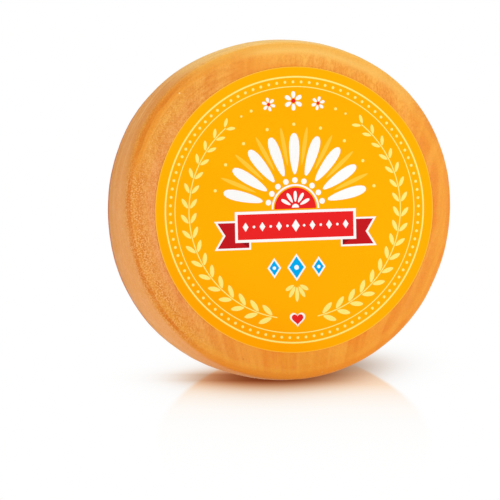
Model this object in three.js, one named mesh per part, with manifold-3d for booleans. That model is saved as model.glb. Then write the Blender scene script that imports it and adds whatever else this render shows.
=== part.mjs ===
// A raclette cheese wheel standing on its rim, with a round paper label on its front face.
// Millimetres, +Z up. The wheel's axis lies along Y and the labelled face looks towards -Y.
// The origin is on the ground, under the middle of the wheel.
import * as THREE from "three";
import { mergeVertices } from "three/addons/utils/BufferGeometryUtils.js";
import Module from "manifold-3d";

const wasm = await Module();
wasm.setup();

// Driving dimensions of the cheese
const diameter = 300;
const thickness = 70; // over the raised lips of both faces
const rimBulge = 2.2; // the middle of the rim stands this far past its edges
const cornerDepth = 3.3; // the rounded corner, measured inwards along the face
const cornerHeight = 5.5; // the rounded corner, measured along the rim
const creaseDrop = 0.9; // the crease round the face lies this far below the lip
const lipWidth = 4.2; // from the crest of the lip out to the crease
const lipHeight = 0.6; // the crest stands this far over the flat of the face
const lipRise = 8.8; // from the flat of the face out to the crest
const standDepth = 1; // how much of the rim has settled flat where the wheel stands

// A pressed cheese is never quite round. Each entry adds lobes round the rim, as cosine and sine heights.
const outOfRound = [
  { lobes: 2, cos: -0.2, sin: 0.7 },
  { lobes: 3, cos: 0.4, sin: 1.35 },
  { lobes: 4, cos: -0.75, sin: 0 },
];

// How far the outline of the back face differs from that of the front face, in the same terms
const backAgainstFront = [
  { lobes: 1, cos: -2.4, sin: -0.8 },
  { lobes: 2, cos: 0.8, sin: 3.6 },
];

// Driving dimensions of the label
const labelDiameter = 249.6;
const labelThickness = 0.4;
const labelGap = 0.3; // between the paper and the face behind it
const labelCentre = { x: 5.8, z: 0.1 }; // stuck on a little off the wheel's axis

// Steps of the faceted surfaces
const stepsRound = 120;
const labelStepsRound = 96;
const rimSteps = 5; // on each half of the rim
const cornerSteps = 4;
const lipSteps = 3; // on each slope of the lip

const rindColor = 0xe89a4c;
const labelColor = 0xfeb00b;

const radius = diameter / 2;
const rimEdgeRadius = radius - rimBulge;
const creaseRadius = rimEdgeRadius - cornerDepth;
const crestRadius = creaseRadius - lipWidth;
const flatRadius = crestRadius - lipRise;
const crestY = thickness / 2;
const flatY = crestY - lipHeight;
const creaseY = crestY - creaseDrop;
const rimEdgeY = creaseY - cornerHeight;

// Points of a smooth slope from one height to another, without the first of them
function slope(fromRadius, fromY, toRadius, toY, steps) {
  return Array.from({ length: steps }, (_, i) => {
    const share = (i + 1) / steps;
    const eased = (1 - Math.cos(Math.PI * share)) / 2;
    return new THREE.Vector2(
      THREE.MathUtils.lerp(fromRadius, toRadius, share),
      THREE.MathUtils.lerp(fromY, toY, eased),
    );
  });
}

// Points of the rounded corner, from the crease to the edge of the rim, without the first of them
function cornerArc() {
  return Array.from({ length: cornerSteps }, (_, i) => {
    const turn = ((i + 1) / cornerSteps) * (Math.PI / 2);
    return new THREE.Vector2(
      creaseRadius + cornerDepth * Math.sin(turn),
      rimEdgeY + cornerHeight * Math.cos(turn),
    );
  });
}

// Points of half the rim, from its edge to its middle, without the first of them
function rimHalf() {
  return Array.from({ length: rimSteps }, (_, i) => {
    const share = 1 - (i + 1) / rimSteps;
    return new THREE.Vector2(radius - rimBulge * share ** 2, rimEdgeY * share);
  });
}

// The outline of half the wheel, from the middle of the back face to the middle of the rim
function halfProfile() {
  return [
    new THREE.Vector2(0, flatY),
    new THREE.Vector2(flatRadius, flatY),
    ...slope(flatRadius, flatY, crestRadius, crestY, lipSteps),
    ...slope(crestRadius, crestY, creaseRadius, creaseY, lipSteps),
    ...cornerArc(),
    ...rimHalf(),
  ];
}

// The whole outline, from the middle of the front face to the middle of the back face
function wheelProfile() {
  const back = halfProfile();
  const front = back.slice(0, -1).map((p) => new THREE.Vector2(p.x, -p.y));
  return [...front, ...back.reverse()];
}

function lobeHeight(lobes, angle) {
  return lobes.reduce(
    (sum, l) =>
      sum + l.cos * Math.cos(l.lobes * angle) + l.sin * Math.sin(l.lobes * angle),
    0,
  );
}

// Moves every point of a round wheel in or out, in proportion to its distance from the axis
function makeUneven(geometry) {
  const position = geometry.getAttribute("position");
  for (let i = 0; i < position.count; i++) {
    const [x, y, z] = [position.getX(i), position.getY(i), position.getZ(i)];
    const angle = Math.atan2(z, x);
    const height =
      lobeHeight(outOfRound, angle) +
      (y / thickness) * lobeHeight(backAgainstFront, angle);
    const scale = 1 + height / radius;
    position.setXYZ(i, x * scale, y, z * scale);
  }
  return geometry;
}

function solidFrom(geometry) {
  const bare = geometry.clone();
  bare.deleteAttribute("normal");
  bare.deleteAttribute("uv");
  const merged = mergeVertices(bare);
  return new wasm.Manifold(
    new wasm.Mesh({
      numProp: 3,
      vertProperties: merged.getAttribute("position").array,
      triVerts: new Uint32Array(merged.index.array),
    }),
  );
}

function geometryFrom(solid) {
  const mesh = solid.getMesh();
  const geometry = new THREE.BufferGeometry();
  geometry.setAttribute(
    "position",
    new THREE.BufferAttribute(mesh.vertProperties, 3),
  );
  geometry.setIndex(new THREE.BufferAttribute(mesh.triVerts, 1));
  geometry.computeVertexNormals();
  return geometry;
}

// The cheese in one piece, cut level where it stands
function cheeseGeometry() {
  const round = makeUneven(
    new THREE.LatheGeometry(wheelProfile(), stepsRound),
  );
  round.computeBoundingBox();
  const ground = new THREE.BoxGeometry(diameter, diameter, diameter);
  ground.translate(
    0,
    0,
    round.boundingBox.min.z + standDepth - diameter / 2,
  );
  return geometryFrom(solidFrom(round).subtract(solidFrom(ground)));
}

function labelGeometry() {
  const disc = new THREE.CylinderGeometry(
    labelDiameter / 2,
    labelDiameter / 2,
    labelThickness,
    labelStepsRound,
  );
  const middleY = -(flatY + labelGap + labelThickness / 2);
  return disc.translate(labelCentre.x, middleY, labelCentre.z);
}

function namedMesh(name, geometry, color, roughness) {
  const material = new THREE.MeshStandardMaterial({ color, roughness });
  const mesh = new THREE.Mesh(geometry, material);
  mesh.name = name;
  return mesh;
}

const cheese = namedMesh("cheese_wheel", cheeseGeometry(), rindColor, 0.55);
const label = namedMesh("label", labelGeometry(), labelColor, 0.4);

// Stands the wheel on the ground, centred over the origin
cheese.geometry.computeBoundingBox();
const { min, max } = cheese.geometry.boundingBox;
const group = new THREE.Group();
group.add(cheese, label);
group.position.set(-(min.x + max.x) / 2, 0, -min.z);

export default group;
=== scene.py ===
# A whole raclette cheese wheel on its rim: rind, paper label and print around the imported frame.
# Blender works in metres; the dictionaries give sizes in millimetres, as a cheesemaker would.
import functools
import math

import bmesh
import bpy
from mathutils import Matrix, Vector, noise


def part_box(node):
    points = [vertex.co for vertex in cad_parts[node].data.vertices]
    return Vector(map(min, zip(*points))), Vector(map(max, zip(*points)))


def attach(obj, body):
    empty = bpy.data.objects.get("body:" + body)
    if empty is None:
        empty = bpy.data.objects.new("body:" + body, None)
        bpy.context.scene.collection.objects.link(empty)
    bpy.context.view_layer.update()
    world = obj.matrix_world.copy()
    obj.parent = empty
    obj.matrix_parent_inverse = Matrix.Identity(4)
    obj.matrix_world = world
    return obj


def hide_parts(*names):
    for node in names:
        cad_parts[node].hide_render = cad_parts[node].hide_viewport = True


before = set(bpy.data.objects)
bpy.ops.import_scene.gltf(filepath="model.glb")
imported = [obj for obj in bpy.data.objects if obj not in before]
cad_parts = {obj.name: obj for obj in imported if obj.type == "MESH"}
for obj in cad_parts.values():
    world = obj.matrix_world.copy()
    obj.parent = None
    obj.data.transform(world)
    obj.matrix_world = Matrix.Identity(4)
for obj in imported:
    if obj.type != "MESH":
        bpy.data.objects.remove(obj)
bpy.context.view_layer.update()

mm = 0.001

# Where the frame puts things. The label is stuck on a little off the wheel's axis.
labelOffAxis = {"x": 5.8, "z": 0.1}
wheelLow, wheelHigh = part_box("cheese_wheel")
labelLow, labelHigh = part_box("label")
labelMiddle = (labelLow + labelHigh) / 2
labelRadius = (labelHigh.x - labelLow.x) / 2 / mm
labelThickness = (labelHigh.y - labelLow.y) / mm
wheelMiddle = Vector((
    labelMiddle.x - labelOffAxis["x"] * mm,
    (wheelLow.y + wheelHigh.y) / 2,
    labelMiddle.z - labelOffAxis["z"] * mm,
))


# Shared helpers for meshes and materials
def finishPiece(bm, name, place, material, body="root"):
    # Turns a mesh drawn in millimetres into an object whose place is in its mesh
    bm.transform(place @ Matrix.Scale(mm, 4))
    mesh = bpy.data.meshes.new(name)
    bm.to_mesh(mesh)
    bm.free()
    piece = bpy.data.objects.new(name, mesh)
    bpy.context.scene.collection.objects.link(piece)
    mesh.materials.append(material)
    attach(piece, body)
    return piece


def newMaterial(name):
    material = bpy.data.materials.new(name)
    material.use_nodes = True
    return material, material.node_tree, material.node_tree.nodes["Principled BSDF"]


def addNode(tree, kind, inputs=None, **settings):
    node = tree.nodes.new("ShaderNode" + kind)
    for key, value in settings.items():
        setattr(node, key, value)
    for key, value in (inputs or {}).items():
        if isinstance(value, bpy.types.NodeSocket):
            tree.links.new(value, node.inputs[key])
        else:
            node.inputs[key].default_value = value
    return node


def wheelCoordinates(tree):
    # Object coordinates in millimetres, measured from the middle of the wheel
    source = addNode(tree, "TexCoord").outputs["Object"]
    shift = Vector(wheelMiddle) * -1 / mm
    return addNode(tree, "Mapping", {0: source, "Location": shift, "Scale": (1 / mm,) * 3}).outputs[0]


def stretched(tree, vector, stretch, shift=(0, 0, 0)):
    return addNode(tree, "Mapping", {0: vector, "Location": shift, "Scale": stretch}).outputs[0]


def noiseValue(tree, vector, size, detail=3.0, roughness=0.5):
    # A noise whose lumps are about that many millimetres across
    made = addNode(
        tree, "TexNoise",
        {"Vector": vector, "Scale": 1 / size, "Detail": detail, "Roughness": roughness},
    )
    return made.outputs["Fac"]


def between(tree, value, low, high, outLow=0.0, outHigh=1.0):
    # Eases from outLow to outHigh while the value goes from low to high, which may be the lower of the two
    made = addNode(
        tree, "MapRange",
        {"Value": value, "From Min": low, "From Max": high, "To Min": outLow, "To Max": outHigh},
        interpolation_type="SMOOTHSTEP",
    )
    return made.outputs[0]


def calculate(tree, operation, a, b):
    return addNode(tree, "Math", {0: a, 1: b}, operation=operation).outputs[0]


def mixColour(tree, share, first, second, blend="MIX"):
    made = addNode(tree, "Mix", {0: share, 6: first, 7: second}, data_type="RGBA", blend_type=blend)
    return made.outputs[2]


def attributeValue(tree, name):
    return addNode(tree, "Attribute", attribute_name=name).outputs["Fac"]


# The rind: one shell from the middle of the front face round the rim to the middle of the back
rind = {
    "diameter": 300.0,
    "rimBulge": 2.2,
    "cornerDepth": 3.3,
    "cornerHeight": 5.5,
    "creaseDrop": 0.9,
    "lipWidth": 4.2,
    "lipHeight": 0.6,
    "lipRise": 8.8,
    "underLabelRise": 0.22,
    "stepsRound": 640,
    "row": 1.4,  # from one row of points to the next
    "frontRows": [(96.0, 24.0), (116.0, 10.0)],  # out to that radius, rows that far apart
    "backRows": [(12.0, 6.0), (108.0, 3.2)],
    "backEdgeRow": 1.8,  # from there out to the lip
}
outOfRound = [(2, -0.2, 0.7), (3, 0.4, 1.35), (4, -0.75, 0.0)]  # lobes, cosine and sine heights
backAgainstFront = [(1, -2.4, -0.8), (2, 0.8, 3.6)]
relief = {
    "creaseWander": (0.9, 30.0, 1),  # height and length of each unevenness, and its place in the noise
    "creaseDepth": (0.7, 24.0, 2),
    "lipSwell": (0.35, 34.0, 3),
    "faceWave": (0.21, 55.0, 4),
    "rimWave": (0.45, 42.0, 5),
    "rimRipple": (0.12, 9.0, 6),
    "rippleSquash": 1.6,  # along the wheel's axis
    "noiseStep": (7.3, 3.1, 11.9),  # from one place in the noise to the next
    "grainHeight": 0.10,  # of what the boards press into the faces
    "grainSize": (3.4, 20.0, 70.0),
    "wanderFrom": 120.0,  # the faces' points follow the wandering crease from this radius outwards
    "meanDepth": 0.35,  # of the crease, under the frame's
    "leastDepth": 0.2,  # share of that where the crease hardly shows
    "creaseWidth": 2.2,
    "lipSpread": 3.2,
    "facesApart": 40.0,  # keeps the front and the back from being alike
    "cornerOntoRim": 4.0,  # how far down the rim the corner's tints fade out
    "cornerFull": 1.0,  # how far over the rim's edge they are full
}
# Painted shade in the crease, strongest on the left, away from the key light
creaseShade = {
    "least": 0.12,  # how strong the crease's painted shade is away from the left
    "left": (0.73, 0.85),  # where it starts and is full, from 0 at the right to 1 at the left
    "strength": 0.9,
    "strengthByDepth": 0.8,
    "wideAt": 142.0,  # degrees round from the right, over the top
    "wideOver": 14.0,
    "wider": 0.9,
}

radius = rind["diameter"] / 2
thickness = (wheelHigh.y - wheelLow.y) / mm
rimEdgeRadius = radius - rind["rimBulge"]
creaseRadius = rimEdgeRadius - rind["cornerDepth"]
crestRadius = creaseRadius - rind["lipWidth"]
flatRadius = crestRadius - rind["lipRise"]
crestY = thickness / 2
flatY = crestY - rind["lipHeight"]
creaseY = crestY - rind["creaseDrop"]
rimEdgeY = creaseY - rind["cornerHeight"]

# What every point of the rind carries for its colour: how far outwards from the crease it lies, how strongly
# the painted shade in the crease falls on it, and how much it belongs to the lip, the rim and the corner
rindLayers = ("out", "crease", "lip", "rim", "corner")


def stepsFor(length, row):
    return max(2, round(length / row))


def flatRows(spacings, edgeRow):
    # Across the flat of a face, from the axis out to the lip
    rows = [(0.0, flatY)]
    for toRadius, row in [*spacings, (flatRadius, edgeRow)]:
        fromRadius = rows[-1][0]
        steps = stepsFor(toRadius - fromRadius, row)
        rows += [(fromRadius + (toRadius - fromRadius) * i / steps, flatY) for i in range(1, steps + 1)]
    return rows


def slopeRows(fromRadius, fromY, toRadius, toY):
    steps = stepsFor(abs(toRadius - fromRadius), rind["row"])
    rows = []
    for i in range(1, steps + 1):
        share = i / steps
        climb = (1 - math.cos(math.pi * share)) / 2
        rows.append((fromRadius + (toRadius - fromRadius) * share, fromY + (toY - fromY) * climb))
    return rows


def cornerRows():
    steps = stepsFor(rind["cornerDepth"] + rind["cornerHeight"], rind["row"])
    rows = []
    for i in range(1, steps + 1):
        turn = math.pi / 2 * i / steps
        rows.append((
            creaseRadius + rind["cornerDepth"] * math.sin(turn),
            rimEdgeY + rind["cornerHeight"] * math.cos(turn),
        ))
    return rows


def faceRows(spacings, edgeRow):
    # A face with its lip, crease and rounded corner
    return [
        *flatRows(spacings, edgeRow),
        *slopeRows(flatRadius, flatY, crestRadius, crestY),
        *slopeRows(crestRadius, crestY, creaseRadius, creaseY),
        *cornerRows(),
    ]


def rimRows():
    steps = stepsFor(2 * rimEdgeY, rind["row"])
    rows = []
    for i in range(1, steps):
        share = 2 * i / steps - 1
        rows.append((radius - rind["rimBulge"] * share ** 2, rimEdgeY * share))
    return rows


def rindOutline():
    # Distance from the axis and place along it, from the front to the back
    front = faceRows(rind["frontRows"], rind["row"])
    back = faceRows(rind["backRows"], rind["backEdgeRow"])
    return [(r, -y) for r, y in front] + rimRows() + [(r, y) for r, y in reversed(back)]


def lobeHeight(lobes, angle):
    return sum(c * math.cos(k * angle) + s * math.sin(k * angle) for k, c, s in lobes)


def wave(kind, x, y, z):
    # Smooth unevenness of that kind at a place on the wheel
    height, length, seed = relief[kind]
    place = Vector((x, y, z)) / length + Vector([seed * step for step in relief["noiseStep"]])
    return height * noise.noise(place)


def bell(distance, width):
    return math.exp(-(distance / width) ** 2)


def eased(value, low, high):
    share = min(1.0, max(0.0, (value - low) / (high - low)))
    return share * share * (3 - 2 * share)


def creaseTone(angle, depth):
    # Painted shade in the crease: strongest on the left, away from the key light, fading towards the top and
    # the foot
    toLeft = eased((1 - math.cos(angle)) / 2, *creaseShade["left"])
    strength = creaseShade["strength"] + creaseShade["strengthByDepth"] * (depth - relief["meanDepth"])
    return min(1.0, creaseShade["least"] + (1 - creaseShade["least"]) * toLeft * strength)


def creaseReach(angle):
    # The crease's painted shade spreads further over the corner where it climbs over the upper left
    return 1.0 + creaseShade["wider"] * bell(math.degrees(angle) - creaseShade["wideAt"], creaseShade["wideOver"])


def roughenRind(bm, layers):
    # Gives the round wheel its lobes, wandering crease, swelling lip, waves and grain
    grainAcross, grainDeep, grainLong = relief["grainSize"]
    for v in bm.verts:
        x, y, z = v.co
        r = math.hypot(x, z)
        if r < 1e-6:
            continue  # the middle of a face
        angle = math.atan2(z, x)
        side = -1.0 if y < 0 else 1.0
        overCorner = eased(r, crestRadius, creaseRadius)
        onRim = eased(crestY - abs(y), rind["creaseDrop"], rind["cornerHeight"]) * overCorner
        onFace = 1.0 - onRim
        fromCrease = r - creaseRadius + max(0.0, creaseY - abs(y))
        nearCrease = bell(r - creaseRadius, relief["creaseWidth"]) * eased(abs(y), rimEdgeY, creaseY)
        usualTone = creaseTone(angle, relief["meanDepth"])
        nearCrease *= relief["leastDepth"] + (1 - relief["leastDepth"]) * usualTone
        nearLip = bell(r - crestRadius, relief["lipSpread"]) * onFace

        apart = side * relief["facesApart"]
        edge = (radius * math.cos(angle), apart, radius * math.sin(angle))
        wander = wave("creaseWander", *edge) * eased(r, relief["wanderFrom"], crestRadius) * onFace
        depth = relief["meanDepth"] + wave("creaseDepth", *edge)
        swell = wave("lipSwell", *edge)
        grain = noise.noise(Vector((x / grainAcross, y / grainDeep, z / grainLong)))
        faceLift = wave("faceWave", x, apart / 2, z) + grain * relief["grainHeight"]
        faceLift += swell * nearLip - depth * nearCrease
        if side < 0:
            fromLabelEdge = math.hypot(x - labelOffAxis["x"], z - labelOffAxis["z"]) - labelRadius
            underLabel = eased(fromLabelEdge, 1.0, -1.0)
            faceLift = faceLift * (1 - underLabel) + rind["underLabelRise"] * underLabel
        y += side * faceLift * onFace

        rimLift = wave("rimWave", x, y, z) + wave("rimRipple", x, y * relief["rippleSquash"], z)
        out = wander + rimLift * onRim
        uneven = lobeHeight(outOfRound, angle) + y / thickness * lobeHeight(backAgainstFront, angle)
        scale = 1 + uneven / radius
        v.co = Vector((
            (x + math.cos(angle) * out) * scale,
            y,
            (z + math.sin(angle) * out) * scale,
        ))
        v[layers["out"]] = fromCrease if fromCrease < 0 else fromCrease / creaseReach(angle)
        # How strongly the painted shade in the crease falls here
        v[layers["crease"]] = creaseTone(angle, depth)
        v[layers["lip"]] = nearLip
        v[layers["rim"]] = onRim
        cornerSpan = (rimEdgeY - relief["cornerOntoRim"], rimEdgeY + relief["cornerFull"])
        v[layers["corner"]] = overCorner * eased(abs(y), *cornerSpan)


def buildRind(material):
    bm = bmesh.new()
    for name in rindLayers:
        bm.verts.layers.float.new(name)
    layers = {name: bm.verts.layers.float[name] for name in rindLayers}
    corners = [bm.verts.new((r, y, 0.0)) for r, y in rindOutline()]
    line = [bm.edges.new(pair) for pair in zip(corners, corners[1:])]
    bmesh.ops.spin(
        bm, geom=corners + line, cent=(0, 0, 0), axis=(0, 1, 0),
        angle=math.tau, steps=rind["stepsRound"], use_merge=True,
    )
    bmesh.ops.remove_doubles(bm, verts=bm.verts, dist=1e-4)
    roughenRind(bm, layers)
    ground = -wheelMiddle.z / mm
    for v in bm.verts:
        v.co.z = max(v.co.z, ground)  # the rim has settled flat where it stands
    bmesh.ops.recalc_face_normals(bm, faces=bm.faces)
    for face in bm.faces:
        face.smooth = True
    piece = finishPiece(bm, "wheelRind", Matrix.Translation(wheelMiddle), material)
    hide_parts("cheese_wheel")
    print("rind", len(piece.data.polygons), "faces")
    return piece


rindLook = {
    "apricot": (0.87, 0.302, 0.024, 1),
    "amber": (0.85, 0.252, 0.019, 1),
    "straw": (0.88, 0.367, 0.040, 1),
    "flush": (0.82, 0.215, 0.032, 1),
    "goldHighlight": (0.91, 0.520, 0.118, 1),
    "cornerGoldHighlight": (0.94, 0.500, 0.085, 1),
    "leftFace": (0.81, 0.322, 0.068, 1),
    "bloom": (0.92, 0.440, 0.140, 1),
    "furrow": (0.69, 0.205, 0.022, 1),
    "rimTan": (0.83, 0.335, 0.078, 1),
    "rimStraw": (0.77, 0.325, 0.066, 1),
    "rimCreamHighlight": (0.97, 0.630, 0.180, 1),
    "rimOliveShade": (0.72, 0.275, 0.030, 1),
    "rimPinkShade": (0.60, 0.145, 0.036, 1),
    "rimOrange": (0.76, 0.265, 0.036, 1),
    "salmon": (0.84, 0.312, 0.096, 1),
    "redMark": (0.79, 0.200, 0.045, 1),
    "honey": (0.82, 0.345, 0.046, 1),
    "gleam": (0.94, 0.520, 0.100, 1),
    "streakLight": (0.88, 0.460, 0.150, 1),
    "streakDark": (0.72, 0.280, 0.055, 1),
    "creaseShadeAmber": (0.67, 0.165, 0.008, 1),
    "creaseShadeFringe": (0.83, 0.290, 0.026, 1),
    "edgeShadeRed": (0.76, 0.170, 0.025, 1),
    "footHighlight": (0.84, 0.285, 0.024, 1),
    "bandDark": (0.955, 0.900, 0.830, 1),  # the faces' grain darkens and lightens them by as much
    "bandLight": (1.015, 1.070, 1.140, 1),
    "hatchDark": (0.950, 0.860, 0.720, 1),
    "hatchLight": (1.050, 1.140, 1.280, 1),
    "gritDark": (0.95, 0.95, 0.95, 1),
    "gritLight": (1.03, 1.03, 1.03, 1),
    "speck": (0.97, 0.760, 0.330, 1),
    "pit": (0.45, 0.12, 0.015, 1),
    "shine": 0.12,
    "granule": 1.3,  # across, in millimetres
    "roundGranules": 0.65,  # how round the granules are, against how lumpy
    "fewestGranules": 0.32,  # on the left, away from the crease
    "fineInBands": 0.1,  # how much of the fine grain shows in the broad
    "streakTurn": 14.0,  # how long the streaks beside the crease are drawn out
    "grainFan": 0.000028,  # how fast the grain fans out below the middle, per millimetre squared
    "grainLean": 0.20,  # how far the grain leans outwards on the right
    "leanSpan": (20.0, 140.0),  # how far right that starts and is full
    "grainDrift": (120.0, 40.0),  # over what length it wanders from side to side, and how far
    "grainStretch": (1, 0.1, 0.07),
    "grainHeight": 0.10,
    "granuleRest": 0.3,  # how strong the granules' relief is on the right, where it is 1 more on the left
    "markHeight": 0.25,
    "markEdge": (0.4, 1.3),  # how far out a mark is full and where it ends, in its own radii
}
# Small round marks: how far apart their cells lie, what share of these has one, its radius, and a shift
rindMarks = {"speck": (16.0, 0.14, 0.8, (0, 0, 0)), "pit": (12.0, 0.10, 0.9, (40, 7, 90))}
# What each pattern is drawn on, then its size, its detail and its roughness
rindPatterns = {
    "patch": ("plain", 50.0, 3.0, 0.5),
    "mottle": ("plain", 11.0, 3.0, 0.6),
    "sheen": ("plain", 12.0, 3.0, 0.5),
    "grit": ("plain", 0.9, 2.0, 0.6),
    "lumps": ("plain", rindLook["granule"], 1.0, 0.5),
    "blotch": ("tall", 6.5, 3.0, 0.6),
    "hatch": ("steep", 1.4, 2.0, 0.6),
    "fineGrain": ("boards", 3.4, 1.0, 0.5),
    "broadGrain": ("boards", 11.0, 2.0, 0.5),
    "rimGrain": ("roundRim", 6.0, 3.0, 0.6),
    "ringGrain": ("roundCrease", 2.6, 2.0, 0.6),
}
# Areas are products of spans. A span names a pattern or place and two values of it, and eases between them
# from 0 to 1, or from one to the other of the numbers that follow. The places are in millimetres from the
# wheel's middle, X to the right, Y to the back and Z up, and out goes outwards from the crease.
rindAreas = {
    "onFront": [("Y", -10, 10, 1, 0.5)],
    "leftwards": [("X", -130, 10, 1, 0)],
    "farLeft": [("X", -125, -50, 1, 0)],
    "atTop": [("Z", 70, 145), ("X", -105, -35)],
    "upperLeft": [("Z", 0, 70), ("X", -20, -75)],
    "ridge": ["upperLeft", ("Z", 125, 90, 0.3, 1)],
    "upperRight": [("Z", 40, 110), ("X", -40, 30)],
    "roughLeft": [("X", -30, -95)],
    "besideCrease": [("out", -17, -8), ("Z", 50, 15), ("mottle", 0.40, 0.56, 0.3, 1)],
    "streaky": [("Z", 0, 100, 0.2, 0.85), ("Z", 140, 105, 0.35, 1)],
    "earlyRim": [("Z", 85, 118), ("X", 10, -25), ("rim", 0.005, 0.15)],
    "pullLow": [("Z", 68, 56, 0.5, 1.6)],  # how many millimetres the crease's painted shade lies inside the crease
    "pullHigh": [("Z", 84, 94, 0.5, 1.6)],
    "pullMost": [("Z", 40, 55, 0.6, 1.6)],
}
# Each tint is a colour and the areas, spans and plain numbers whose product is its strength.
# Faces: straw, with a painted highlight in gold at the top, and amber over the label and at the lower right
faceTints = [
    ("straw", "onFront", ("broadGrain", 0.42, 0.64, 0, 0.6)),
    ("straw", ("mottle", 0.46, 0.66, 0, 0.4)),
    ("flush", ("blotch", 0.50, 0.34, 0, 0.32)),
    ("straw", ("Z", -60, 150, 0, 0.33)),
    ("amber", ("fineGrain", 0.36, 0.56, 0.14, 0)),
    # Painted highlight: gold on the face at the top
    ("goldHighlight", "atTop", ("X", -45, 20, 0, 0.35)),
    ("amber", ("rightAndDown", 150, 200, 0, 0.4)),
    ("amber", ("Z", 40, 105), ("X", 110, 45, 0.3, 1), ("out", -13, -20, 0, 0.42)),
    ("bloom", ("X", 60, 115, 0, 0.10)),
    ("straw", ("X", -10, 15), ("X", 80, 45), ("Z", -112, -125), ("out", -4, -12, 0, 0.6)),
    # The left side is drier: salmon beside the label and honey beside the crease
    ("leftFace", "leftwards", ("lip", 0, 0.7, 0.85, 0.6)),
    ("salmon", "farLeft", "onFront", ("out", -13, -20, 0, 0.75)),
    ("honey", "ridge", ("out", -22, -9, 0.45, 0.85)),
    ("honey", ("Z", -50, -90), ("X", -30, -75), ("out", -14, -5, 0, 0.8)),
    ("redMark", "farLeft", ("out", -10, -18), ("ringGrain", 0.54, 0.66, 0, 0.6)),
]
# Each shade is the dark and light that it gives, the span of the pattern they follow, and its strength
faceShades = [
    ("hatch", ("ringGrain", 0.36, 0.64), "upperLeft", 0.9),
    ("band", ("bands", 0.38, 0.62), ("Y", -10, 10, 0.8, 0.3)),
    ("hatch", ("hatch", 0.34, 0.66), ("dry", 0, 1, 0.2, 1)),
]
granuleTints = [
    ("furrow", "grainy", ("granule", 0.60, 0.20, 0, 0.95)),
    ("bloom", "grainy", ("granule", 0.50, 0.80)),
    # Painted highlight: paler straw along the lip's crest, less of it on the far left
    ("straw", ("lip", 0.2, 1, 0, 0.45), ("farLeft", 0, 1, 1, 0.3)),
    # Painted highlight: a gleaming line along the lip's crest on the upper left
    (
        "gleam", "farLeft", ("out", -8, -6.3), ("out", -4.6, -6), ("Z", 48, 70), ("Z", 128, 108),
        ("ringGrain", 0.40, 0.60, 0.2, 0.9),
    ),
]
# Rim: drier and plainer, with streaks round it, a painted highlight in pale cream along the top, and painted
# shade that turns it olive towards the back and pink at the far edge
rimTints = [
    # Painted highlight: pale cream along the top of the rim, where light from above falls
    ("rimCreamHighlight", ("Z", 98, 144)),
    # Painted shade: the rim turns olive towards the back, away from the lights, least at the top
    ("rimOliveShade", ("Y", -14, 20), ("Z", 30, 115, 0.75, 0)),
    ("streakLight", "streaky", ("rimGrain", 0.50, 0.66)),
    ("streakDark", "streaky", ("rimGrain", 0.50, 0.34)),
    ("bloom", ("granule", 0.3, 0.8, 0, 0.2)),
    ("rimOrange", "farLeft", ("out", 16, 5, 0, 0.6), ("Z", 15, 55)),
    # Painted shade: pink along the far edge of the rim, where it turns away from the light
    ("rimPinkShade", ("Y", 17, 27), ("Y", 34.5, 30.5), ("Z", 125, 85)),
]
rimShades = [("hatch", ("hatch", 0.34, 0.66), 0.6)]
# Corner, lip and crease, over face and rim alike
edgeTints = [
    # Painted highlight: gold on the corner at the upper left, less of it onto the rim
    ("cornerGoldHighlight", "corner", ("Z", 70, 125), ("X", -125, -75), ("rimShare", 0.4, 1, 0.8, 0.25)),
    # Painted highlight: gold on the lip at the top
    ("goldHighlight", "lip", "atTop", ("X", -55, -15, 0.2, 0.95)),
    # Painted highlight: the corner is paler along the foot
    ("footHighlight", "corner", ("Z", -100, -140)),
    # Painted shade: a red line along the right edge, where the corner turns away from the light
    ("edgeShadeRed", ("out", 3.8, 6), ("out", 14, 8), ("X", 60, 120, 0, 0.4)),
    # Painted shade: a softer amber fringe round the crease on the upper left
    ("creaseShadeFringe", "ridge", ("out", -9, -4), ("out", 3, -0.5), ("Z", 25, 50, 0.3, 0.8)),
    # Painted shade: dark amber along the crease, strongest on the left
    (
        "creaseShadeAmber", "crease", ("fromCreaseShade", -1.9, -1), ("fromCreaseShade", 3.4, 1),
        ("granule", 0.2, 0.9, 1, 0.75), ("ringGrain", 0.36, 0.56, 0.65, 1), ("ridge", 0, 0.6, 0.9, 0.68),
    ),
]
edgeShades = [("grit", ("grit", 0.3, 0.7), 1.0)]
markTints = [("speck", "speck", 0.8), ("pit", "pit", 0.4)]


def grainCoordinates(tree, coords):
    # The boards' grain runs up and down the faces. It fans out towards the foot, leans outwards on the right
    # and wanders a little.
    split = addNode(tree, "SeparateXYZ", {0: coords})
    below = calculate(tree, "MINIMUM", split.outputs["Z"], 0.0)
    spread = calculate(tree, "MULTIPLY", calculate(tree, "MULTIPLY", below, below), rindLook["grainFan"])
    fanned = calculate(tree, "MULTIPLY", split.outputs["X"], calculate(tree, "ADD", spread, 1.0))
    lean = between(tree, split.outputs["X"], *rindLook["leanSpan"], 0.0, -rindLook["grainLean"])
    leant = calculate(tree, "ADD", fanned, calculate(tree, "MULTIPLY", split.outputs["Z"], lean))
    length, most = rindLook["grainDrift"]
    drift = calculate(tree, "SUBTRACT", noiseValue(tree, coords, length, 1.0), 0.5)
    across = calculate(tree, "ADD", leant, calculate(tree, "MULTIPLY", drift, most))
    drawn = addNode(tree, "CombineXYZ", {"X": across, "Y": split.outputs["Y"], "Z": split.outputs["Z"]})
    return stretched(tree, drawn.outputs[0], rindLook["grainStretch"])


def streakCoordinates(tree, place, out):
    # Across the crease and round it, for streaks that follow it round the left side
    backwards = calculate(tree, "MULTIPLY", place.outputs["X"], -1.0)
    turn = calculate(tree, "ARCTAN2", place.outputs["Z"], backwards)
    along = calculate(tree, "MULTIPLY", turn, rindLook["streakTurn"])
    return addNode(tree, "CombineXYZ", {"X": out, "Y": along}).outputs[0]


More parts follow.
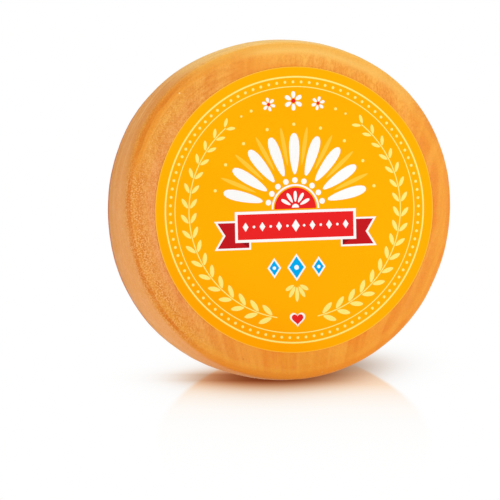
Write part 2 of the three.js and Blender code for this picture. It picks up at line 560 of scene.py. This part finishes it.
def scattered(tree, coords, spacing, share, size, shift):
    # A few small round marks: the cells that far apart, that share of them, that many millimetres in radius
    moved = stretched(tree, coords, (1, 1, 1), shift)
    cells = addNode(tree, "TexVoronoi", {"Vector": moved, "Scale": 1 / spacing})
    lot = addNode(tree, "SeparateColor", {0: cells.outputs["Color"]}).outputs[0]
    chosen = between(tree, lot, 1 - share, 1 - share + 0.01)
    full, end = rindLook["markEdge"]
    shape = between(tree, cells.outputs["Distance"], full * size / spacing, end * size / spacing, 1, 0)
    return calculate(tree, "MULTIPLY", chosen, shape)


def rindMeasures(tree, coords):
    # Every place and pattern that the tints go by
    place = addNode(tree, "SeparateXYZ", {0: coords})
    measure = {axis: place.outputs[axis] for axis in "XYZ"}
    for name in rindLayers:
        measure[name] = attributeValue(tree, name)
    measure["rightAndDown"] = calculate(tree, "SUBTRACT", measure["X"], measure["Z"])
    grounds = {
        "plain": coords,
        "tall": stretched(tree, coords, (1, 1, 0.5), (30, 0, 60)),
        "steep": stretched(tree, coords, (1, 1, 0.45), (70, 0, 20)),
        "roundRim": stretched(tree, coords, (0.10, 1, 0.10)),
        "boards": grainCoordinates(tree, coords),
        "roundCrease": streakCoordinates(tree, place, measure["out"]),
    }
    for name, (ground, size, detail, roughness) in rindPatterns.items():
        measure[name] = noiseValue(tree, grounds[ground], size, detail, roughness)
    for name, (spacing, share, size, shift) in rindMarks.items():
        measure[name] = scattered(tree, coords, spacing, share, size, shift)
    return measure


def rindMaterial():
    material, tree, shader = newMaterial("washedRind")
    coords = wheelCoordinates(tree)
    measure = rindMeasures(tree, coords)
    look = rindLook

    def times(a, b):
        return calculate(tree, "MULTIPLY", a, b)

    def plus(a, b):
        return calculate(tree, "ADD", a, b)

    def part(factor):
        if isinstance(factor, tuple):
            name, *limits = factor
            return between(tree, measure[name], *limits)
        return measure[factor] if isinstance(factor, str) else factor

    def strength(factors):
        return functools.reduce(times, map(part, factors))

    def tinted(colour, tints):
        for name, *factors in tints:
            colour = mixColour(tree, strength(factors), colour, look[name])
        return colour

    def shaded(colour, shades):
        for name, pattern, *factors in shades:
            shade = mixColour(tree, part(pattern), look[name + "Dark"], look[name + "Light"])
            colour = mixColour(tree, strength(factors), colour, shade, "MULTIPLY")
        return colour

    for name, factors in rindAreas.items():
        measure[name] = strength(factors)
    cells = addNode(tree, "TexVoronoi", {"Vector": coords, "Scale": 1 / look["granule"]})
    rounded = between(tree, cells.outputs["Distance"], 0.75, 0.25)
    lumpy = between(tree, measure["lumps"], 0.36, 0.64, 0, 1 - look["roundGranules"])
    measure["granule"] = plus(times(rounded, look["roundGranules"]), lumpy)
    fewest = look["fewestGranules"]
    measure["grainy"] = times(measure["farLeft"], plus(times(measure["besideCrease"], 1 - fewest), fewest))
    fine = look["fineInBands"]
    measure["bands"] = plus(times(measure["broadGrain"], 1 - fine), times(measure["fineGrain"], fine))
    measure["dry"] = calculate(tree, "MAXIMUM", measure["roughLeft"], measure["upperRight"])

    face = mixColour(tree, part(("patch", 0.36, 0.64)), look["apricot"], look["amber"])
    face = tinted(shaded(tinted(face, faceTints), faceShades), granuleTints)
    side = mixColour(tree, part(("Z", 0, 120)), look["rimTan"], look["rimStraw"])
    side = shaded(tinted(side, rimTints), rimShades)

    # At the upper left the pale rim starts right beside the crease
    measure["rimShare"] = calculate(tree, "MAXIMUM", measure["rim"], measure["earlyRim"])
    # On the ridge the crease's painted shade lies a little inside the crease
    pull = calculate(tree, "MAXIMUM", measure["pullLow"], measure["pullHigh"])
    pull = calculate(tree, "MINIMUM", pull, measure["pullMost"])
    measure["fromCreaseShade"] = plus(measure["out"], times(measure["ridge"], pull))
    colour = mixColour(tree, measure["rimShare"], face, side)
    colour = tinted(shaded(tinted(colour, edgeTints), edgeShades), markTints)
    tree.links.new(colour, shader.inputs["Base Color"])
    tree.links.new(part(("sheen", 0.3, 0.7, 0.46, 0.62)), shader.inputs["Roughness"])
    shader.inputs["Specular IOR Level"].default_value = look["shine"]

    # Heights in millimetres
    grain = {0: measure["rim"], 2: measure["fineGrain"], 3: measure["rimGrain"]}
    height = times(addNode(tree, "Mix", grain, data_type="FLOAT").outputs[0], look["grainHeight"])
    granules = times(measure["granule"], plus(measure["leftwards"], look["granuleRest"]))
    height = plus(height, times(part(("rim", 0, 1, 0.22, 0.08)), granules))
    height = plus(height, times(measure["speck"], look["markHeight"]))
    height = calculate(tree, "SUBTRACT", height, times(measure["pit"], look["markHeight"]))
    bump = addNode(tree, "Bump", {"Height": height, "Distance": mm, "Strength": 1.0})
    tree.links.new(bump.outputs[0], shader.inputs["Normal"])
    return material


# The label: a round of printed paper, and one thin plate for each ink
label = {
    "edgeRounding": 0.3,
    "stepsRound": 288,
    "turned": 1.2,  # degrees, as it was stuck on
    "colour": (1.0, 0.420, 0.001, 1),
    "lowerLeft": (1.0, 0.365, 0.0005, 1),
    "deepening": (-136.0, -72.0),  # where it is deepest and where it ends, upwards to the right
    "deepeningLean": 0.6,
    # The paler cut edge: partly the paper's own, partly a painted highlight where the edge catches the light
    "cutColour": (1.0, 0.56, 0.07, 1),
    "cutEdge": 0.9,  # width of the paler band along the cut
    "cutStrength": 0.8,
    "cloudDark": (0.97, 0.97, 0.97, 1),
    "fibres": 1.1,  # size
    "fibreHeight": 0.02,
    "clouds": 70.0,
    "cloudShare": 0.65,
    "roughness": (0.46, 0.54),
    "shine": 0.015,
}
# Draws as if seen from the front: x to the right, y up and z out of the paper
labelFace = (
    Matrix.Translation((labelMiddle.x, labelLow.y, labelMiddle.z))
    @ Matrix.Rotation(math.radians(90), 4, "X")
    @ Matrix.Rotation(math.radians(label["turned"]), 4, "Z")
)


def sheetColour(tree, coords):
    # The sheet is deeper towards the lower left, and paler along its cut edge: partly the paper's own cut,
    # partly a painted highlight
    place = addNode(tree, "SeparateXYZ", {0: coords})
    across = calculate(tree, "MULTIPLY", place.outputs["X"], label["deepeningLean"])
    corner = between(tree, calculate(tree, "ADD", across, place.outputs["Z"]), *label["deepening"])
    colour = mixColour(tree, corner, label["lowerLeft"], label["colour"])
    onFace = addNode(tree, "CombineXYZ", {"X": place.outputs["X"], "Z": place.outputs["Z"]}).outputs[0]
    middle = (labelOffAxis["x"], 0, labelOffAxis["z"])
    out = addNode(tree, "VectorMath", {0: onFace, 1: middle}, operation="DISTANCE").outputs["Value"]
    band = (labelRadius - label["cutEdge"], labelRadius - label["edgeRounding"])
    cut = between(tree, out, *band, 0, label["cutStrength"])
    return mixColour(tree, cut, colour, label["cutColour"])


def paperMaterial(name, ink=None):
    # Smooth coated paper, plain or under an ink
    material, tree, shader = newMaterial(name)
    coords = wheelCoordinates(tree)
    fibres = noiseValue(tree, coords, label["fibres"], 3.0, 0.6)
    cloud = noiseValue(tree, coords, label["clouds"], 2.0)
    colour = ink or sheetColour(tree, coords)
    fine = calculate(tree, "MULTIPLY", fibres, 1 - label["cloudShare"])
    shade = calculate(tree, "ADD", fine, calculate(tree, "MULTIPLY", cloud, label["cloudShare"]))
    tint = mixColour(tree, between(tree, shade, 0.38, 0.62), label["cloudDark"], (1, 1, 1, 1))
    tree.links.new(mixColour(tree, 1.0, colour, tint, "MULTIPLY"), shader.inputs["Base Color"])
    tree.links.new(between(tree, fibres, 0.3, 0.7, *label["roughness"]), shader.inputs["Roughness"])
    shader.inputs["Specular IOR Level"].default_value = label["shine"]
    bump = addNode(tree, "Bump", {"Height": fibres, "Distance": label["fibreHeight"] * mm, "Strength": 1.0})
    tree.links.new(bump.outputs[0], shader.inputs["Normal"])
    return material


def thicken(bm, height):
    # Gives flat faces a thickness, up or down
    made = bmesh.ops.extrude_face_region(bm, geom=bm.faces[:], use_keep_orig=True)
    moved = [g for g in made["geom"] if isinstance(g, bmesh.types.BMVert)]
    bmesh.ops.translate(bm, verts=moved, vec=(0, 0, height))


def buildLabelPaper():
    bm = bmesh.new()
    bmesh.ops.create_circle(bm, cap_ends=True, segments=label["stepsRound"], radius=labelRadius)
    thicken(bm, -labelThickness)
    bmesh.ops.recalc_face_normals(bm, faces=bm.faces)
    rimEdges = [e for e in bm.edges if all(abs(v.co.z) < 1e-6 for v in e.verts)]
    bmesh.ops.bevel(
        bm, geom=rimEdges, offset=label["edgeRounding"], offset_type="OFFSET",
        affect="EDGES", segments=3, profile=0.5, material=-1,
    )
    piece = finishPiece(bm, "labelPaper", labelFace, paperMaterial("labelPaper"))
    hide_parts("label")
    return piece


def shifted(x, y):
    return Matrix.Translation((x, y, 0))


def scaled(x, y):
    return Matrix.Diagonal((x, y, 1, 1))


def around(angle, distance):
    # From the middle out at that angle, with +y pointing away from the middle
    return Matrix.Rotation(math.radians(angle - 90), 4, "Z") @ shifted(0, distance)


def mirrored():
    return [scaled(1, 1), scaled(-1, 1)]


def disc(bm, segments, place):
    # A round of radius 1, with few segments a polygon that stands on a point
    verts = bmesh.ops.create_circle(bm, cap_ends=True, segments=segments, radius=1)["verts"]
    bmesh.ops.transform(bm, matrix=place, verts=verts)
    return verts


def dot(bm, size, place, segments=16):
    disc(bm, segments, place @ scaled(size, size))


def lozenge(bm, halfWidth, halfHeight, place):
    disc(bm, 4, place @ scaled(halfWidth, halfHeight))


def rectangle(bm, halfLength, halfHeight, place):
    made = bmesh.ops.create_grid(bm, x_segments=1, y_segments=1, size=1)
    bmesh.ops.transform(bm, matrix=place @ scaled(halfLength, halfHeight), verts=made["verts"])


def halfDisc(bm, size, place, segments=80):
    # A disc without its lower half
    face = disc(bm, segments, place @ scaled(size, size))[0].link_faces[0]
    bmesh.ops.bisect_plane(
        bm, geom=[face, *face.edges, *face.verts], dist=1e-4,
        plane_co=place.translation, plane_no=(0, 1, 0), clear_inner=True,
    )


def polygon(bm, points, place):
    face = bm.faces.new([bm.verts.new((x, y, 0)) for x, y in points])
    bmesh.ops.transform(bm, matrix=place, verts=face.verts)


def ring(bm, inner, outer, place=Matrix(), segments=180, start=0.0, sweep=360.0):
    # A flat band round the origin, or part of one
    first = Matrix.Rotation(math.radians(start), 4, "Z")
    ends = [bm.verts.new(first @ Vector((r, 0, 0))) for r in (inner, outer)]
    edge = bm.edges.new(ends)
    before = set(bm.verts) - set(ends)
    bmesh.ops.spin(
        bm, geom=ends + [edge], cent=(0, 0, 0), axis=(0, 0, 1),
        angle=math.radians(sweep), steps=segments, use_merge=sweep == 360,
    )
    bmesh.ops.transform(bm, matrix=place, verts=[v for v in bm.verts if v not in before])


leafShapes = {  # how sharp the tips are, and how much narrower the base is than the tip
    "garland": (1.35, 0.1),
    "ray": (1.3, 0.3),
    "spray": (1.2, 0.2),
    "small": (1.0, 0.35),
    "flower": (0.9, 0.35),
    "fan": (0.9, 0.45),
}


def leaf(bm, shape, length, width, place):
    # A leaf or petal along +y from its base at the origin
    point, taper = leafShapes[shape]
    verts = disc(bm, 20, Matrix())
    for v in verts:
        along = (v.co.y + 1) / 2
        across = math.copysign(abs(v.co.x) ** point, v.co.x)
        v.co.x = across * width / 2 * (1 - taper * (1 - along))
        v.co.y = along * length
    bmesh.ops.transform(bm, matrix=place, verts=verts)


def heart(bm, size, place):
    # Two lobes above a point, from one closed curve
    points = []
    for i in range(40):
        t = math.tau * i / 40
        x = 16 * math.sin(t) ** 3
        y = 13 * math.cos(t) - 5 * math.cos(2 * t) - 2 * math.cos(3 * t) - math.cos(4 * t)
        points.append((x * size / 16, y * size / 16))
    polygon(bm, points, place)


# Each ink lies a little higher than the one it is printed over
inks = {
    "pale": {"height": 0.03, "colour": (1.0, 0.56, 0.045, 1)},
    "cream": {"height": 0.05, "colour": (0.94, 0.80, 0.20, 1)},
    "white": {"height": 0.06, "colour": (0.93, 0.92, 0.90, 1)},
    "wine": {"height": 0.09, "colour": (0.52, 0.010, 0.014, 1)},
    "shade": {"height": 0.12, "colour": (0.27, 0.006, 0.010, 1)},
    "border": {"height": 0.15, "colour": (0.93, 0.92, 0.90, 1)},
    "red": {"height": 0.18, "colour": (0.79, 0.018, 0.018, 1)},
    "blue": {"height": 0.18, "colour": (0.0, 0.40, 0.83, 1)},
    "top": {"height": 0.21, "colour": (0.93, 0.92, 0.90, 1)},
}
inkSunk = 0.02  # how far each plate reaches down into the paper


def printInk(ink, draw):
    # Draws the shapes of one ink, gives them their height and lays them on the paper
    bm = bmesh.new()
    draw(bm)
    for face in bm.faces:
        face.normal_update()
        if face.normal.z < 0:
            face.normal_flip()
    thicken(bm, inks[ink]["height"] + inkSunk)
    bmesh.ops.translate(bm, verts=bm.verts, vec=(0, 0, -inkSunk))
    bmesh.ops.recalc_face_normals(bm, faces=bm.faces)
    name = "print" + ink.capitalize()
    piece = finishPiece(bm, name, labelFace, paperMaterial(name, inks[ink]["colour"]))
    return piece


border = {
    "rings": [(115.2, 116.6), (107.0, 107.8)],
    "beadsRadius": 111.5,
    "beads": 96,
    "beadSize": 1.25,
}
garland = {
    "radius": 95.0,
    "from": -76.0,
    "to": 50.0,
    "pairs": 17,
    "leafLength": 12.5,
    "leafWidth": 4.6,
    "lean": 34.0,
    "shrink": 0.35,  # how much smaller the last leaves are than the first
    "stem": 0.9,
    "leafBase": 1.1,  # from the middle of the stem
    "stemEnd": 3.0,  # degrees that the stem starts before the first leaves
}
crown = {  # small flowers between the tips of the garland, and the heart between its stalks
    "flowers": [(90.0, 1.0), (76.5, 0.72), (103.5, 0.72)],  # angle and size
    "petals": 6,
    "petalInner": 2.4,
    "petalLength": 6.0,
    "petalWidth": 4.4,
    "eye": 1.9,
    "dots": [(66.5, 1.3), (60.5, 1.0), (113.5, 1.3), (119.5, 1.0)],
    "heart": 5.2,
    "heartBorder": 7.0,
}
fan = {
    "petals": 9,
    "from": 14.0,
    "to": 166.0,
    "inner": 30.0,
    "length": 36.0,
    "width": 11.4,
    "rayInner": 38.0,
    "rayLength": 34.0,
    "rayWidth": 4.2,
    "tipDots": (73.5, 1.4),  # radius that they stand at, and size
    "base": 1.2,
    "disc": 18.5,
    "band": (19.8, 21.4),
    "scallops": (24.9, 2.5),
    "innerPetals": 5,  # inside the half disc
    "innerPetal": (9.6, 3.6, 5.0),  # length, width and where it starts
    "innerLift": 1.0,
    "innerDisc": 3.2,
}
ribbon = {
    "halfLength": 52.0,
    "halfHeight": 11.0,
    "border": 2.4,
    "middle": -13.5,
    "tail": 18.0,
    "tailBehind": 10.0,
    "drop": 7.0,
    "notch": 7.0,
    "tailBorder": 1.6,
    "shadeBeyond": 0.5,
    "pattern": 15.0,  # from one lozenge on it to the next
    "lozenges": 3,  # on each side of the middle one
    "lozenge": (2.6, 4.0),
    "middleLarger": 1.35,
    "dot": 1.15,
}
drops = {  # three lozenges under the ribbon
    "middle": -50.0,
    "spacing": 20.0,
    "large": (6.6, 9.4),
    "small": (4.4, 6.4),
    "border": (1.8, 2.55),
    "largeDot": 2.1,
    "smallDot": 1.5,
}
spray = {  # a few leaves under the drops
    "leaves": 5,
    "middle": -64.0,
    "inner": 3.2,
    "apart": 30.0,
    "length": 13.0,
    "shorter": 2.2,  # from one leaf to the next, outwards
    "width": 3.8,
}


def fanAngles(gaps=False):
    step = (fan["to"] - fan["from"]) / (fan["petals"] - 1)
    if gaps:
        return [fan["from"] + step * (i + 0.5) for i in range(fan["petals"] - 1)]
    return [fan["from"] + step * i for i in range(fan["petals"])]


def eachDrop():
    # Half width, half height, dot and place of each of the three
    for i in (-1, 0, 1):
        kind = "small" if i else "large"
        halfWidth, halfHeight = drops[kind]
        yield halfWidth, halfHeight, drops[kind + "Dot"], shifted(i * drops["spacing"], drops["middle"])


def tailOutline(grow=0.0):
    # The right-hand tail of the ribbon, with its notch, wider all round by that much
    w, h = ribbon["halfLength"], ribbon["halfHeight"]
    low, high = -h - ribbon["drop"] - grow, h - ribbon["drop"] + grow
    inner, outer = w - ribbon["tailBehind"] - grow, w + ribbon["tail"] + grow
    tip, notch = outer + grow * 0.8, outer - ribbon["notch"] + grow * 0.4
    return [(inner, low), (tip, low), (notch, (low + high) / 2), (tip, high), (inner, high)]


def drawPale(bm):
    middle = shifted(0, fan["base"])
    for angle in fanAngles(gaps=True):
        leaf(bm, "ray", fan["rayLength"], fan["rayWidth"], middle @ around(angle, fan["rayInner"]))


def drawGarland(bm, turn):
    first, last = garland["from"], garland["to"]
    for i in range(garland["pairs"]):
        share = i / (garland["pairs"] - 1)
        size = 1.0 - garland["shrink"] * share
        for side in (1, -1):
            lean = Matrix.Rotation(math.radians(90 - side * garland["lean"]), 4, "Z")
            base = around(first + (last - first) * share, garland["radius"] + side * garland["leafBase"])
            leaf(bm, "garland", garland["leafLength"] * size, garland["leafWidth"] * size, turn @ base @ lean)
    inner = garland["radius"] - garland["stem"] / 2
    start = first - garland["stemEnd"]
    ring(bm, inner, inner + garland["stem"], turn, 90, start, last - start)


def drawSpray(bm):
    middle = shifted(0, spray["middle"])
    for i in range(spray["leaves"]):
        spread = i - (spray["leaves"] - 1) / 2
        length = spray["length"] - spray["shorter"] * abs(spread)
        base = middle @ around(270 + spread * spray["apart"], spray["inner"])
        leaf(bm, "spray", length, spray["width"], base)


def drawCream(bm):
    for inner, outer in border["rings"]:
        ring(bm, inner, outer)
    for i in range(border["beads"]):
        dot(bm, border["beadSize"], around(i * 360 / border["beads"], border["beadsRadius"]), 12)
    for turn in mirrored():
        drawGarland(bm, turn)
    distance, size = fan["tipDots"]
    for angle in fanAngles():
        dot(bm, size, shifted(0, fan["base"]) @ around(angle, distance))
    for angle, size in crown["dots"]:
        dot(bm, size, around(angle, garland["radius"]))
    drawSpray(bm)


def drawFlower(bm, place):
    for i in range(crown["petals"]):
        petal = place @ around(90 + i * 360 / crown["petals"], crown["petalInner"])
        leaf(bm, "flower", crown["petalLength"], crown["petalWidth"], petal)


def drawWhite(bm):
    middle = shifted(0, fan["base"])
    for angle in fanAngles():
        leaf(bm, "fan", fan["length"], fan["width"], middle @ around(angle, fan["inner"]))
    distance, size = fan["scallops"]
    for angle in fanAngles():
        dot(bm, size, middle @ around(angle, distance))
    ring(bm, *fan["band"], middle, 60, 0.0, 180.0)
    for turn in mirrored():
        polygon(bm, tailOutline(ribbon["tailBorder"]), turn @ shifted(0, ribbon["middle"]))
    for angle, size in crown["flowers"]:
        drawFlower(bm, around(angle, garland["radius"]) @ Matrix.Scale(size, 4))
    heart(bm, crown["heartBorder"], shifted(0, -garland["radius"]))
    beside, above = drops["border"]
    for halfWidth, halfHeight, _, place in eachDrop():
        lozenge(bm, halfWidth + beside, halfHeight + above, place)


def drawWine(bm):
    for turn in mirrored():
        polygon(bm, tailOutline(), turn @ shifted(0, ribbon["middle"]))


def drawShade(bm):
    # Where the ribbon folds back under itself
    w, h = ribbon["halfLength"], ribbon["halfHeight"]
    fold = w - ribbon["tailBehind"]
    points = [(w + ribbon["shadeBeyond"], -h), (fold, -h - ribbon["drop"]), (fold, -h)]
    for turn in mirrored():
        polygon(bm, points, turn @ shifted(0, ribbon["middle"]))


def drawBorder(bm):
    grow = ribbon["border"]
    middle = shifted(0, ribbon["middle"])
    rectangle(bm, ribbon["halfLength"] + grow, ribbon["halfHeight"] + grow, middle)


def drawRed(bm):
    rectangle(bm, ribbon["halfLength"], ribbon["halfHeight"], shifted(0, ribbon["middle"]))
    halfDisc(bm, fan["disc"], shifted(0, fan["base"]))
    for angle, size in crown["flowers"]:
        dot(bm, crown["eye"] * size, around(angle, garland["radius"]))
    heart(bm, crown["heart"], shifted(0, -garland["radius"]))


def drawBlue(bm):
    for halfWidth, halfHeight, _, place in eachDrop():
        lozenge(bm, halfWidth, halfHeight, place)


def drawTop(bm):
    # White ornaments over the red: a row of lozenges and dots, and small petals in the half disc
    middle = shifted(0, ribbon["middle"])
    halfWidth, halfHeight = ribbon["lozenge"]
    for i in range(-ribbon["lozenges"], ribbon["lozenges"] + 1):
        size = 1.0 if i else ribbon["middleLarger"]
        lozenge(bm, halfWidth * size, halfHeight * size, middle @ shifted(i * ribbon["pattern"], 0))
    for i in range(-ribbon["lozenges"], ribbon["lozenges"]):
        dot(bm, ribbon["dot"], middle @ shifted((i + 0.5) * ribbon["pattern"], 0))
    base = shifted(0, fan["base"] + fan["innerLift"])
    length, width, start = fan["innerPetal"]
    step = 180 / (fan["innerPetals"] + 1)
    for i in range(fan["innerPetals"]):
        leaf(bm, "small", length, width, base @ around(step * (i + 1), start))
    halfDisc(bm, fan["innerDisc"], base)
    for _, _, size, place in eachDrop():
        dot(bm, size, place)


def printLabel():
    plates = [drawPale, drawCream, drawWhite, drawWine, drawShade, drawBorder, drawRed, drawBlue, drawTop]
    for ink, draw in zip(inks, plates):
        printInk(ink, draw)


# Floor, light and camera, in metres and degrees
studio = {
    "floorHalf": 12.0,
    # The floor is white. What it loses to the painted warm reflection: at the wheel, over how many metres
    # that falls off, and at most
    "fanFade": (0.765, 0.104, 0.62),
    "fanHalfWidth": (0.0814, 0.123, -0.18),  # its half width at the wheel, and how that grows and bends
    "fanLeast": 0.01,
    "fanEdge": 0.042,  # how soft its sides are, as a share of that half width
    # The painted shadow at the wheel's foot
    "footFade": (2.92, 0.044, 3.56),
    "footHump": (-0.026, 0.051),  # metres right of the wheel's middle, and its width
    # The grey painted shadow behind the wheel, to the right
    "greyHump": (0.0275, 0.047),
    "greyBehind": (-0.123, 0.120),  # how far in front of the wheel its middle lies, and its width
    "greyLean": -0.105,
    "fanLoss": (0.0, 0.444, 0.900),  # of red, green and blue
    "footLoss": (0.375, 0.716, 1.0),
    "greyLoss": (1.0, 1.41, 1.73),
    "tintBehind": (-0.20, -0.07),  # how far behind the wheel the painted warm reflection ends
    "frontFoot": (0.002, -0.0355, 0),  # where the front edge of the wheel meets the floor
    "footHalf": 0.0355,  # from there back to under the wheel's middle
    "bounce": 0.6,  # how far the light off the floor is whiter than the floor looks
    "backdrop": 1.0,
    "skyLight": 0.485,
    "keyPlace": (38.0, 15.0, 1.3),  # azimuth, elevation and distance from the wheel
    "keySize": 0.9,
    "keyPower": 5.5,
    "fillPlace": (-50.0, 12.0, 1.4),
    "fillSize": 1.0,
    "fillPower": 4.3,
    "boxPlace": (0.0, 0.35, 1.2),  # over the wheel and a little behind it
    "boxSize": 1.1,
    "boxPower": 6.9,
}
camera = {
    "azimuth": -14.2,
    "elevation": 2.8,
    "distance": 3.0,
    "lens": 245.4,
    "leftOfWheel": 25.6,  # millimetres that it aims left of the wheel's middle
    "belowWheel": 36.7,
}


def backOf(azimuth, elevation):
    # From what is looked at towards the eye
    a, e = math.radians(azimuth), math.radians(elevation)
    return Vector((math.sin(a) * math.cos(e), -math.cos(a) * math.cos(e), math.sin(e)))


def aim(thing, place, target):
    thing.location = place
    thing.rotation_euler = (target - place).to_track_quat("-Z", "Y").to_euler()


def floorTint(tree, coords):
    # What the floor's white loses to a brown painted shadow at the foot, a painted warm reflection in front
    # and a grey painted shadow behind
    def times(a, b):
        return calculate(tree, "MULTIPLY", a, b)

    def plus(a, b):
        return calculate(tree, "ADD", a, b)

    def minus(a, b):
        return calculate(tree, "SUBTRACT", a, b)

    def decay(value):
        return calculate(tree, "EXPONENT", times(value, -1.0), 0.0)

    def hump(value, middle, width):
        share = calculate(tree, "DIVIDE", minus(value, middle), width)
        return decay(times(share, share))

    def falling(value, level, length, most):
        return calculate(tree, "MINIMUM", times(decay(times(value, 1.0 / length)), level), most)

    turned = addNode(
        tree, "Mapping",
        {0: coords, "Location": studio["frontFoot"], "Rotation": (0, 0, math.radians(camera["azimuth"]))},
        vector_type="TEXTURE",
    )
    split = addNode(tree, "SeparateXYZ", {0: turned.outputs[0]})
    right = split.outputs["X"]
    towards = times(split.outputs["Y"], -1.0)

    # Painted warm reflection of the wheel, a fan that widens in front
    atWheel, growth, bend = studio["fanHalfWidth"]
    halfWidth = plus(times(plus(times(towards, bend), growth), towards), atWheel)
    halfWidth = calculate(tree, "MAXIMUM", halfWidth, studio["fanLeast"])
    sideways = calculate(tree, "DIVIDE", calculate(tree, "ABSOLUTE", right, 0.0), halfWidth)
    inFan = between(tree, sideways, 1 - studio["fanEdge"], 1 + studio["fanEdge"], 1, 0)
    near = between(tree, towards, *studio["tintBehind"])
    warmReflection = times(times(falling(towards, *studio["fanFade"]), inFan), near)

    # Painted shadow at the wheel's foot
    fromMiddle = calculate(tree, "ABSOLUTE", plus(towards, studio["footHalf"]), 0.0)
    outwards = minus(fromMiddle, studio["footHalf"])
    footShadow = times(falling(outwards, *studio["footFade"]), hump(right, *studio["footHump"]))

    # Grey painted shadow behind the wheel, leaning to the right
    behind, length = studio["greyBehind"]
    leaning = minus(right, times(minus(towards, behind), studio["greyLean"]))
    greyShadow = times(hump(leaning, *studio["greyHump"]), hump(towards, behind, length))

    channels = []
    for warmLoss, footLoss, greyLoss in zip(studio["fanLoss"], studio["footLoss"], studio["greyLoss"]):
        brown = plus(times(warmReflection, warmLoss), times(footShadow, footLoss))
        channels.append(decay(plus(brown, times(greyShadow, greyLoss))))
    return addNode(tree, "CombineColor", dict(enumerate(channels))).outputs[0]


def addFloor():
    bm = bmesh.new()
    bmesh.ops.create_grid(bm, x_segments=8, y_segments=8, size=studio["floorHalf"])
    mesh = bpy.data.meshes.new("floor")
    bm.to_mesh(mesh)
    bm.free()
    floor = bpy.data.objects.new("floor", mesh)
    bpy.context.scene.collection.objects.link(floor)
    material, tree, shader = newMaterial("paleFloor")
    tree.nodes.remove(shader)
    coords = addNode(tree, "TexCoord").outputs["Object"]
    tint = floorTint(tree, coords)
    # A light table: it glows white, and the light that it sheds is whiter than its shaded parts look
    seen = addNode(tree, "LightPath").outputs["Is Camera Ray"]
    whiter = mixColour(tree, studio["bounce"], tint, (1, 1, 1, 1))
    glow = mixColour(tree, seen, whiter, tint)
    white = addNode(tree, "Emission", {"Color": glow, "Strength": studio["backdrop"]})
    tree.links.new(white.outputs[0], tree.nodes["Material Output"].inputs["Surface"])
    mesh.materials.append(material)


def addSoftBox(name, offset, size, power):
    lamp = bpy.data.lights.new(name, "AREA")
    lamp.size = size
    lamp.energy = power
    box = bpy.data.objects.new(name, lamp)
    bpy.context.scene.collection.objects.link(box)
    aim(box, wheelMiddle + offset, wheelMiddle)


def addLights():
    world = bpy.data.worlds.new("studioWorld")
    bpy.context.scene.world = world
    world.use_nodes = True
    tree = world.node_tree
    # The backdrop stays white behind the wheel while the light that it sheds is softer
    seen = addNode(tree, "LightPath").outputs["Is Camera Ray"]
    level = addNode(tree, "MapRange", {0: seen, 3: studio["skyLight"], 4: studio["backdrop"]}).outputs[0]
    tree.nodes["Background"].inputs["Color"].default_value = (1, 1, 1, 1)
    tree.links.new(level, tree.nodes["Background"].inputs["Strength"])

    for name in ("key", "fill"):
        azimuth, elevation, distance = studio[name + "Place"]
        offset = backOf(azimuth, elevation) * distance
        addSoftBox(name + "Light", offset, studio[name + "Size"], studio[name + "Power"])
    addSoftBox("overheadLight", Vector(studio["boxPlace"]), studio["boxSize"], studio["boxPower"])


def addCamera():
    lens = bpy.data.cameras.new("camera")
    lens.lens = camera["lens"]
    lens.clip_end = 100
    eye = bpy.data.objects.new("camera", lens)
    bpy.context.scene.collection.objects.link(eye)
    azimuth = math.radians(camera["azimuth"])
    right = Vector((math.cos(azimuth), math.sin(azimuth), 0))
    back = backOf(camera["azimuth"], camera["elevation"])
    up = back.cross(right)
    place = wheelMiddle + back * camera["distance"]
    target = wheelMiddle - (right * camera["leftOfWheel"] + up * camera["belowWheel"]) * mm
    aim(eye, place, target)
    bpy.context.scene.camera = eye


bpy.context.scene.view_settings.view_transform = "Standard"
addCamera()
addLights()
addFloor()
print("studio ready")
buildRind(rindMaterial())
buildLabelPaper()
print("paper laid")
printLabel()
print("label printed")
